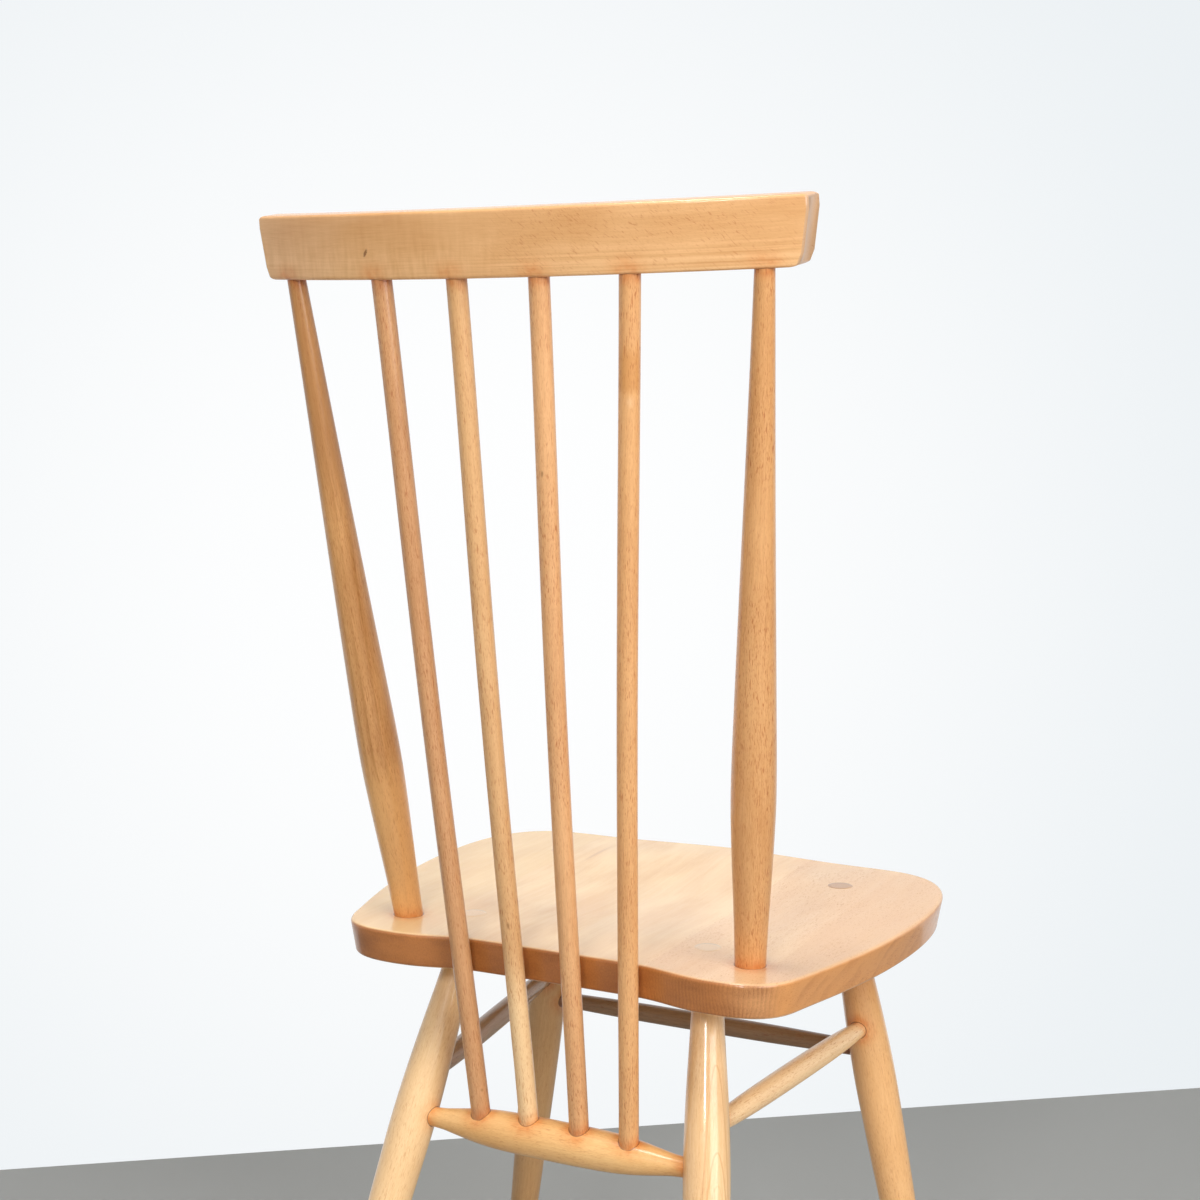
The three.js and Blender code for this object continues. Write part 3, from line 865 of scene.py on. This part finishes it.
def seat_outline(count):
    """Points round the seat at its widest level, evenly spaced, with y from behind the seat."""
    wide, front, hollow, corner = (SEAT[k] for k in ("half_width", "front", "hollow", "corner"))
    front_corner, widest = (140, front + 7), (wide, SEAT["widest"])
    side_end, rear_corner, hollow_end = (174, -34), (122, corner), (60, hollow + 0.5)
    # the left half, from the middle of the front edge round to the middle of the rear edge
    curves = [
        ((0, front), (50, front), (95, front + 1.5), front_corner),
        (front_corner, (188, front + 12), (wide + 1, -283), widest),
        (widest, (wide - 1.5, -130), (184, -70), side_end),
        (side_end, (168.5, -8.5), (155, 4), rear_corner),
        (rear_corner, (95, corner), (85, hollow + 1), hollow_end),
        (hollow_end, (40, hollow), (20, hollow), (0, hollow)),
    ]
    half = np.concatenate([bezier(*curve, CURVE_POINTS) for curve in curves] + [[(0, hollow)]])
    whole = np.concatenate([half, half[-2:0:-1] * [-1, 1], half[:1]])
    travel = np.concatenate([[0], np.cumsum(np.linalg.norm(np.diff(whole, axis=0), axis=1))])
    at = np.linspace(0, travel[-1], count, endpoint=False)
    outline = np.stack([np.interp(at, travel, whole[:, k]) for k in (0, 1)], 1)
    for _ in range(OUTLINE_SOFTENINGS):  # takes the slight corners out of the curves' joins
        outline = 0.25 * np.roll(outline, 1, 0) + 0.5 * outline + 0.25 * np.roll(outline, -1, 0)
    return outline


def outward(points):
    """The level way out of the seat at points of its outline."""
    middle = (SEAT["front"] + SEAT["corner"]) / 2
    half_length = (SEAT["corner"] - SEAT["front"]) / 2
    way = np.stack([
        (points[:, 0] / SEAT["half_width"]) ** 3 / SEAT["half_width"],
        ((points[:, 1] - middle) / half_length) ** 3 / half_length,
    ], 1)
    return way / np.linalg.norm(way, axis=1)[:, None]


def build_seat(material):
    outline = seat_outline(SEAT_SIDES)
    way = outward(outline)
    thickness, r_top, r_bottom, lean = (
        SEAT[k] for k in ("thickness", "top_round", "bottom_round", "lean")
    )
    rings = []

    def ring(points, z):
        rings.append(np.concatenate([points, np.broadcast_to(z, (SEAT_SIDES,))[:, None]], 1))

    inner_bottom = outline - way * (lean + r_bottom)
    for share in UNDERSIDE_SHARES:
        ring(SEAT_CENTRE + (inner_bottom - SEAT_CENTRE) * share, 0.0)
    for angle in np.linspace(0, math.pi / 2, 9):
        inset = lean + r_bottom * (1 - math.sin(angle))
        ring(outline - way * inset, r_bottom * (1 - math.cos(angle)))
    low, high = r_bottom, thickness - r_top
    for share in EDGE_SHARES:
        ring(outline - way * lean * (1 - share), low + (high - low) * share)
    for angle in np.linspace(0, math.pi / 2, 8):
        points = outline - way * r_top * (1 - math.cos(angle))
        top = seat_top(points[:, 0], points[:, 1]) * math.sin(angle)
        ring(points, thickness - r_top * (1 - math.sin(angle)) + top)
    inner_top = outline - way * r_top
    for share in TOP_SHARES:
        points = SEAT_CENTRE + (inner_top - SEAT_CENTRE) * share
        ring(points, thickness + seat_top(points[:, 0], points[:, 1]))
    points = np.concatenate(rings)
    points[:, 2] += SEAT_HEIGHT - thickness
    points[:, 1] += CENTRING
    grain = points[:, [0, 2, 1]]
    faces = tube_faces(len(rings), SEAT_SIDES)
    return new_piece("seat", points, grain, faces, material)


END_PALE = (0.52, 0.190, 0.048)
END_DEEP = (0.25, 0.078, 0.018)
END_PALER = (0.68, 0.325, 0.125)  # at the right corner
RIGHT_CORNER = (-158.0, -122.0)
END_PORE_SIZE = (0.7, 1.6, 0.7)
END_CLOUD_SIZE = (40.0, 14.0, 40.0)
END_LINES_FROM = (-85.0, -60.0)  # left of here, growth rings hardly show on the cut edges
END_LINE_SHARE = 0.52


def seat_end_grain(n, line):
    """Where the seat's front and rear edges cut across the grain, and the colour there."""
    x = n.split(n.own)[0]
    ends = n.step(n.math("ABSOLUTE", n.normal_parts()[1]), 0.42, 0.86)
    ruled = n.times(line, n.step(x, *END_LINES_FROM, 1.0, 0.12), END_LINE_SHARE)
    pores = n.step(n.noise(n.own, END_PORE_SIZE, 3.0, 0.7), 0.3, 0.75, 0.0, 0.35)
    clouds = n.step(n.noise(n.own, END_CLOUD_SIZE), 0.3, 0.7, -0.1, 0.3)
    cut = n.limited(n.math("ADD", n.limited(n.math("ADD", ruled, pores)), clouds))
    ground = n.mix(n.fall(x, *RIGHT_CORNER), END_PALE, END_PALER)
    return ends, n.mix(cut, ground, END_DEEP)


BOARD_WAVER_SIZE = (60.0, 60.0, 120.0)
BOARD_EDGE = 0.4


def board(low, high, soft, share):
    """share between two places across the seat, whose edges waver by soft millimetres."""
    def where(n):
        waver = n.vector("MULTIPLY", n.noise(n.own, BOARD_WAVER_SIZE, output=1), (soft, 0.0, 0.0))
        x = n.split(n.vector("ADD", n.own, waver))[0]
        return n.times(
            n.step(x, low - BOARD_EDGE, low + soft + BOARD_EDGE),
            n.fall(x, high - BOARD_EDGE, high + soft + BOARD_EDGE),
            share,
        )
    return where


def seat_rim(n):
    """Nearly 1 on the seat's upright edges all round."""
    return n.fall(n.math("ABSOLUTE", n.normal_parts()[2]), 0.30, 0.75, 0.9)


SEAT_ARCS = dict(z=408.0, power=1.6, bend=0.16, swerve=34.0, spacing=21.0)


def seat_arcs(n):
    """Arcs of grain where the seat's right edge cuts through its growth rings."""
    x, z, y = n.split(n.own)
    from_tips = n.math("ABSOLUTE", n.math("SUBTRACT", z, SEAT_ARCS["z"]))
    bent = n.times(n.math("POWER", from_tips, SEAT_ARCS["power"]), SEAT_ARCS["bend"])
    swerve = n.times(n.noise(n.own, (30.0, 30.0, 30.0)), SEAT_ARCS["swerve"])
    along = n.total(y, bent, swerve)
    phase = n.math("FRACT", n.math("DIVIDE", along, SEAT_ARCS["spacing"]))
    line = n.times(n.step(phase, 0.2, 0.85), n.fall(phase, 0.88, 1.0))
    faint = n.step(n.noise(n.own, (25.0, 25.0, 25.0)), 0.35, 0.7, 0.0, 0.6)
    return n.times(line, faint, n.fall(x, -178.0, -160.0), seat_rim(n))


build_seat(beech(
    "seat_beech", SEEDS["seat"], (0.915, 0.65, 0.362), (0.79, 0.475, 0.225),
    joints=upright_mouths("post", 0), rings=0.05, ring_centre=(-900.0, 360.0), ring_gap=2.5,
    blotches=1.3, streaks=0.75, fibres=0.7, flecks=0.5, fleck_size=(0.8, 0.8, 4.5),
    fleck_where=lambda n: n.step(n.split(n.own)[0], -75.0, -62.0, 1.0, 0.15),
    end_grain=seat_end_grain, glue_and_shade=0.5, coat=0.6, coat_roughness=0.1,
    tints=[
        (board(-147.0, -71.5, 1.0, 0.38), (0.76, 0.45, 0.26)),
        (board(-260.0, -147.0, 6.0, 0.7), (0.75, 0.435, 0.225)),
        (board(-71.5, 3.0, 1.0, 0.15), (0.86, 0.58, 0.38)),
        (board(112.0, 260.0, 8.0, 0.35), (0.86, 0.60, 0.28)),
        (seat_rim, (0.70, 0.30, 0.085)),
        (seat_arcs, (0.50, 0.19, 0.05)),
    ],
    marks=[dict(
        at=(90.5, 440.0, -155.0), size=(2.2, 6.0, 34.0), colour=(0.60, 0.33, 0.20), strength=0.55,
    )],
))


# Top rail

RAIL_CORNER_POINTS = 7
RAIL_SIDE_SHARES = np.linspace(0, 1, 7)[1:-1]
RAIL_STATIONS = 200
RAIL_END_ANGLES = (12, 90)
RAIL_END_RINGS = 7
RAIL_CAP_INSET = 0.04


def rail_reach(height):
    """Half the rail's length at a height over its underside, with its rounded corners."""
    top, bottom = RAIL["half_top"], RAIL["half_bottom"]
    top_corner, bottom_corner = RAIL["top_corner"], RAIL["bottom_corner"]
    straight = bottom + (top - bottom) * height / RAIL["height"]
    low = np.clip(1 - height / bottom_corner, 0, 1)
    high = np.clip(1 - (RAIL["height"] - height) / top_corner, 0, 1)
    low_cut = bottom_corner * (1 - np.sqrt(1 - low**2))
    high_cut = top_corner * (1 - np.sqrt(1 - high**2))
    return straight - low_cut - high_cut


def rail_section():
    """The rail's section as (outward, height) points with rounded edges, and their normals."""
    half, height, r = RAIL["thickness"] / 2, RAIL["height"], RAIL["edge_round"]
    points, normals = [], []
    corners = [(half - r, height - r, 0), (r - half, height - r, 90),
               (r - half, r, 180), (half - r, r, 270)]
    for index, (cx, cy, start) in enumerate(corners):
        for angle in np.radians(np.linspace(start, start + 90, RAIL_CORNER_POINTS)):
            normal = (math.cos(angle), math.sin(angle))
            points.append((cx + r * normal[0], cy + r * normal[1]))
            normals.append(normal)
        nx, ny, _ = corners[(index + 1) % 4]
        a = np.array(points[-1])
        b = np.array([nx, ny]) + r * np.array(normal)
        for share in RAIL_SIDE_SHARES:
            points.append(tuple(a + (b - a) * share))
            normals.append(normal)
    return np.array(points), np.array(normals)


def rail_stations():
    """Each station along the rail: its share of the half length, and the inset and set-back of
    its rounded ends."""
    turns = np.radians(np.linspace(*RAIL_END_ANGLES, RAIL_END_RINGS))
    rounding = RAIL["end_round"]
    ends = [(rounding * (1 - math.cos(turn)), rounding * (1 - math.sin(turn))) for turn in turns]
    stations = [(-1, inset, back) for inset, back in reversed(ends)]
    stations += [(share, 0.0, rounding) for share in np.linspace(-1, 1, RAIL_STATIONS)]
    return stations + [(1, inset, back) for inset, back in ends]


def build_rail(material):
    section, normals = rail_section()
    rings, grains = [], []
    for share, inset, back in rail_stations():
        loop = section - normals * inset
        x = share * (rail_reach(np.clip(loop[:, 1], 0, RAIL["height"])) - back)
        radius = RAIL["bow"] + loop[:, 0]
        around = np.arcsin(x / radius)
        out = radius * np.cos(around) - RAIL["bow"]
        up = loop[:, 1] - RAIL["drop"] * (x / RAIL["half_top"]) ** 2
        rings.append(
            RAIL_ORIGIN + np.outer(x, (1, 0, 0)) + np.outer(out, RAIL_OUT) + np.outer(up, RAIL_UP)
        )
        grains.append(np.stack([loop[:, 0], loop[:, 1], around * RAIL["bow"]], 1))
    for end in (0, -1):  # a smaller ring before the first one and before the last
        edge, edge_grain = rings[end], grains[end]
        rings.insert(end, edge + (edge.mean(0) - edge) * RAIL_CAP_INSET)
        grains.insert(end, edge_grain + (edge_grain.mean(0) - edge_grain) * RAIL_CAP_INSET)
    faces = tube_faces(len(rings), len(section))
    return new_piece(
        "top_rail", np.concatenate(rings), np.concatenate(grains), faces, material
    )


def rail_ends(n):
    """1 on the rail's cut ends and their rounded edges."""
    return n.step(n.math("ABSOLUTE", n.normal_parts()[0]), 0.42, 0.72)


def rail_bands_and_shade(n):
    """Faint curly banding across the grain on the left half, and fine pale lines low down. A tone
    deeper high up and paler low down is strongest on the left half; that extra is painted shade.
    """
    _, y, z = n.split(n.own)
    curl = n.times(
        n.swing(n.noise(n.own, (30.0, 22.0, 3.4), 2.0, 0.55), 1.1),
        n.step(z, -40.0, 30.0), n.step(y, 8.0, 38.0, 1.0, 0.3),
    )
    ruled = n.times(
        n.swing(n.noise(n.own, (60.0, 1.5, 220.0), 1.0), 2.6, 0.53),
        n.step(y, 6.0, 22.0, 1.0, 0.1), n.step(z, -60.0, 40.0, 1.0, 0.3),
    )
    # deeper high up, paler low down; its extra strength on the left half is painted shade
    deeper = n.times(n.step(y, 8.0, 40.0, -0.16, 0.22), n.step(z, -90.0, 60.0, 0.4, 1.0))
    return n.total(curl, ruled, deeper)


build_rail(beech(
    "top_rail_beech", SEEDS["rail"], (0.86, 0.505, 0.235), (0.67, 0.33, 0.12),
    joints=upright_mouths(("post", "stick"), 1), rings=0.04, ring_centre=(40.0, -400.0),
    ring_gap=2.4, blotches=0.95, fibres=0.85, bands_and_shade=rail_bands_and_shade,
    flecks=0.5, sparse=0.025, fleck_size=(0.8, 0.8, 4.5), fleck_along=(0.05, 0.66, 0.74),
    fleck_where=lambda n: n.step(n.split(n.own)[2], -45.0, 40.0, 1.0, 0.08),
    tints=[(rail_ends, (0.615, 0.37, 0.205))], glue_and_shade=0.6,
    marks=[dict(
        at=(10.0, 17.5, 94.0), size=(3.0, 1.3, 3.4), along=(0.0, 0.86, -0.5),
        colour=(0.26, 0.105, 0.035), strength=0.9, core=0.45,
    )],
))


# Floor, wall, lights and camera, all in metres

CAMERA = dict(
    place=(-0.613303, 1.31623, 0.845733), azimuth=208.401, elevation=6.742, roll=-0.136,
    lens=60.688, shift=(0.083589, -0.003615),
)
WALL_AZIMUTH = 218.2
WALL_DISTANCE = 0.682
BRIGHT_SPOT = (0.42, -0.55, 0.62)
BRIGHTEST = (0.99, 0.995, 0.998)
WALL_COLOUR = (0.52, 0.53, 0.54)
WALL_SEEN = (0.835, 0.875, 0.90)  # the wall's colour far from its brightest place
BRIGHT_REACH = (0.1, 1.1)
FLOOR_COLOUR = (0.345, 0.345, 0.33)
FLOOR_FADES = (1.8, 4.0)
STAGE_REACH = 9.0
WALL_BOTTOM, WALL_TOP = -0.05, 6.0
CLOUD_SIZE = (0.9, 0.9, 0.9)
CLOUD_SHARE = 0.975
ROOM_COLOUR = (0.99, 0.995, 1.0, 1.0)
ROOM_LIGHT = 0.235  # the room's strength as it lights the chair
ROOM_SEEN = 0.93  # and as the camera and the reflections see it
LIGHT_TARGET = Vector((0, 0, 0.55))
LIGHTS = {
    "overhead": dict(azimuth=170.0, elevation=75.0, distance=2.6, size=0.6, level=0.53),
    "side": dict(azimuth=241.0, elevation=22.0, distance=2.8, size=1.9, level=0.75),
    "window": dict(azimuth=191.4, elevation=24.7, distance=2.5, size=0.4, level=0.28),
}


def matt(n, position, colour):
    """A matt surface that is a little darker in places."""
    cloud = n.step(n.noise(position, CLOUD_SIZE, 3.0), 0.2, 0.8)
    tone = n.mix(cloud, tuple(c * CLOUD_SHARE for c in colour), colour)
    return n.add("ShaderNodeBsdfPrincipled", {"Base Color": tone, "Roughness": 0.7})


def floor_material():
    """A grey floor that fades, far from the chair, into the pale room that the camera sees."""
    n = Nodes("floor_pale")
    position = n.add("ShaderNodeNewGeometry")
    far = n.step(n.vector("LENGTH", position, output=1), *FLOOR_FADES)
    share = n.times(far, n.add("ShaderNodeLightPath", output="Is Camera Ray"))
    pale = n.emission(ROOM_COLOUR, ROOM_SEEN)
    return n.show(n.blend(share, matt(n, position, FLOOR_COLOUR), pale))


def wall_material():
    """A wall that the camera and the reflections see at a set brightness, most at one spot. Its
    back is clear, so that the chair can be looked at from that side too."""
    n = Nodes("wall_pale")
    position = n.add("ShaderNodeNewGeometry")
    away = n.vector("LENGTH", n.vector("SUBTRACT", position, BRIGHT_SPOT), output=1)
    bright = n.emission(n.mix(n.step(away, *BRIGHT_REACH), BRIGHTEST, WALL_SEEN), 1.0)
    share = n.math(
        "MAXIMUM", n.add("ShaderNodeLightPath", output="Is Camera Ray"),
        n.add("ShaderNodeLightPath", output="Is Glossy Ray"),
    )
    front = n.blend(share, matt(n, position, WALL_COLOUR), bright)
    from_behind = n.add("ShaderNodeNewGeometry", output="Backfacing")
    return n.show(n.blend(from_behind, front, n.add("ShaderNodeBsdfTransparent")))


def stage_piece(name, corners, material):
    mesh = bpy.data.meshes.new(name)
    mesh.from_pydata([tuple(corner) for corner in corners], [], [(0, 1, 2, 3)])
    mesh.materials.append(material)
    piece = bpy.data.objects.new(name, mesh)
    bpy.context.scene.collection.objects.link(piece)


def build_stage():
    turn = math.radians(WALL_AZIMUTH)
    facing = np.array([math.sin(turn), -math.cos(turn), 0.0])
    along = np.array([-facing[1], facing[0], 0.0])
    up = np.array([0.0, 0.0, 1.0])
    base = -facing * WALL_DISTANCE

    def rectangle(second, low, high):
        spots = ((-1, low), (1, low), (1, high), (-1, high))
        return [base + along * STAGE_REACH * s + second * t for s, t in spots]

    stage_piece("floor", rectangle(facing, -STAGE_REACH, STAGE_REACH), floor_material())
    stage_piece("wall", rectangle(up, WALL_BOTTOM, WALL_TOP), wall_material())


def way_to(azimuth, elevation):
    """The direction from the chair to a place seen at these angles, in radians."""
    return Vector((
        math.sin(azimuth) * math.cos(elevation), -math.cos(azimuth) * math.cos(elevation),
        math.sin(elevation),
    ))


def add_light(name, azimuth, elevation, distance, size, level):
    """A soft square light aimed at the chair that gives about level at its middle."""
    way = way_to(math.radians(azimuth), math.radians(elevation))
    data = bpy.data.lights.new(name, "AREA")
    data.shape = "SQUARE"
    data.size = size
    data.energy = level * math.pi**2 * distance**2
    light = bpy.data.objects.new(name, data)
    light.location = LIGHT_TARGET + way * distance
    light.rotation_mode = "QUATERNION"
    light.rotation_quaternion = (-way).to_track_quat("-Z", "Y")
    bpy.context.scene.collection.objects.link(light)


def light_room():
    """A pale room that the camera and the reflections see brighter than it lights the chair."""
    world = bpy.data.worlds.new("room")
    bpy.context.scene.world = world
    world.use_nodes = True
    tree = world.node_tree
    shade = tree.nodes["Background"]
    shade.inputs[0].default_value = ROOM_COLOUR
    rays = tree.nodes.new("ShaderNodeLightPath")
    strength = tree.nodes.new("ShaderNodeMix")
    strength.inputs[2].default_value = ROOM_LIGHT
    strength.inputs[3].default_value = ROOM_SEEN
    seen = tree.nodes.new("ShaderNodeMath")
    seen.operation = "MAXIMUM"
    tree.links.new(rays.outputs["Is Camera Ray"], seen.inputs[0])
    tree.links.new(rays.outputs["Is Glossy Ray"], seen.inputs[1])
    tree.links.new(seen.outputs[0], strength.inputs[0])
    tree.links.new(strength.outputs[0], shade.inputs[1])
    for name, light in LIGHTS.items():
        add_light(name, **light)


def place_camera():
    azimuth, elevation, roll = (
        math.radians(CAMERA[k]) for k in ("azimuth", "elevation", "roll")
    )
    back = way_to(azimuth, elevation)
    level = (-back).cross(Vector((0, 0, 1))).normalized()
    upright = level.cross(-back)
    right = level * math.cos(roll) + upright * math.sin(roll)
    up = upright * math.cos(roll) - level * math.sin(roll)
    data = bpy.data.cameras.new("camera")
    data.sensor_width = 36.0
    data.lens = CAMERA["lens"]
    data.shift_x, data.shift_y = CAMERA["shift"]
    camera = bpy.data.objects.new("camera", data)
    camera.matrix_world = Matrix.LocRotScale(
        Vector(CAMERA["place"]), Matrix((right, up, back)).transposed(), None
    )
    bpy.context.scene.collection.objects.link(camera)
    bpy.context.scene.camera = camera


build_stage()
light_room()
place_camera()
bpy.context.scene.view_settings.view_transform = "Standard"
